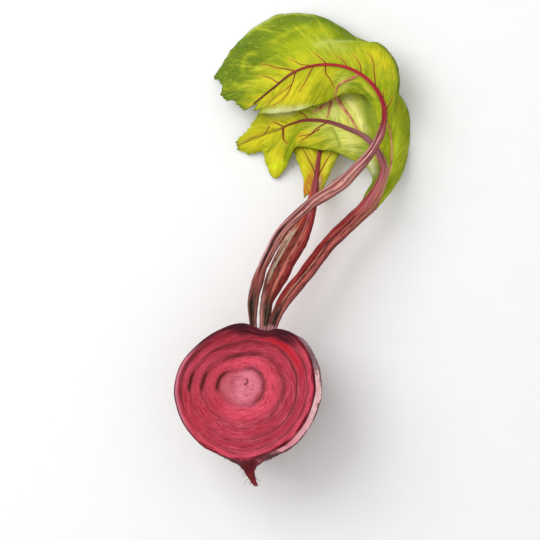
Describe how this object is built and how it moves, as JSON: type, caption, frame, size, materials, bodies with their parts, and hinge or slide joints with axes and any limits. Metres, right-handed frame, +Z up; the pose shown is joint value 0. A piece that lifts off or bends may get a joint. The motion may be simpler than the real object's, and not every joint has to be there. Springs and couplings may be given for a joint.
{
  "type": "halved beetroot with leaves",
  "caption": "Beetroot cut lengthwise through its ringed flesh, lying cut face up, with its trimmed tap root, grooved red leaf stalks and curling yellow-green leaves.",
  "frame": {"origin": "middle of the small flat spot on the root's back, where it rests on the surface", "axes": "+Z up, out of the surface and the cut face; +Y from the root along the stalks to the leaves; +X to the right for someone looking down on the cut face with the leaves away from them"},
  "size_m": [0.1208, 0.2578, 0.0504],
  "materials": {
    "beet_root": "moist pink-red flesh with darker growth rings on the cut face, thin dull skin",
    "leaf_stalk": "satin red-brown, green-black at the crown",
    "leaf_blade": "soft satin yellow-green with red veins"
  },
  "bodies": {
    "root": {"beet_half": "beet_root", "arching_leaf_stalk": "leaf_stalk", "arching_leaf_blade": "leaf_blade", "side_leaf_stalk": "leaf_stalk", "side_leaf_blade": "leaf_blade", "middle_leaf_stalk": "leaf_stalk", "middle_leaf_blade": "leaf_blade"}
  },
  "joints": []
}
